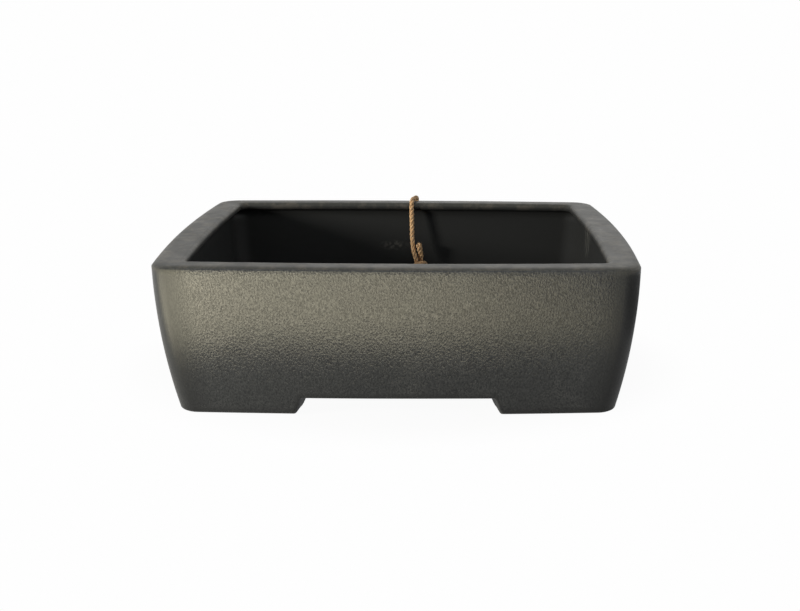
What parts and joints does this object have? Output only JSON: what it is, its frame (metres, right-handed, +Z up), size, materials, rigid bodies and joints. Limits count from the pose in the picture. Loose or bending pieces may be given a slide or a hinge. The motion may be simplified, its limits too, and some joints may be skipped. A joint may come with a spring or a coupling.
{
  "type": "rectangular bonsai pot",
  "caption": "Rectangular unglazed stoneware bonsai pot with bowed, inward-curving walls, an inturned flat rim and corner feet, with a jute cord tied round the rear wall.",
  "frame": {"origin": "middle of the pot's footprint, on the surface that its feet stand on", "axes": "+X along the pot's length to the right, +Y to the rear wall that carries the cord, +Z up"},
  "size_m": [0.3, 0.2293, 0.0996],
  "materials": {
    "stoneware": "matte unglazed grey clay, leather grain outside, burnished rim",
    "jute": "twisted natural jute"
  },
  "bodies": {
    "root": {"pot_body": "stoneware", "tie_cord": "jute", "tie_knot": "jute", "tie_end_upper": "jute", "tie_end_lower": "jute"}
  },
  "joints": []
}
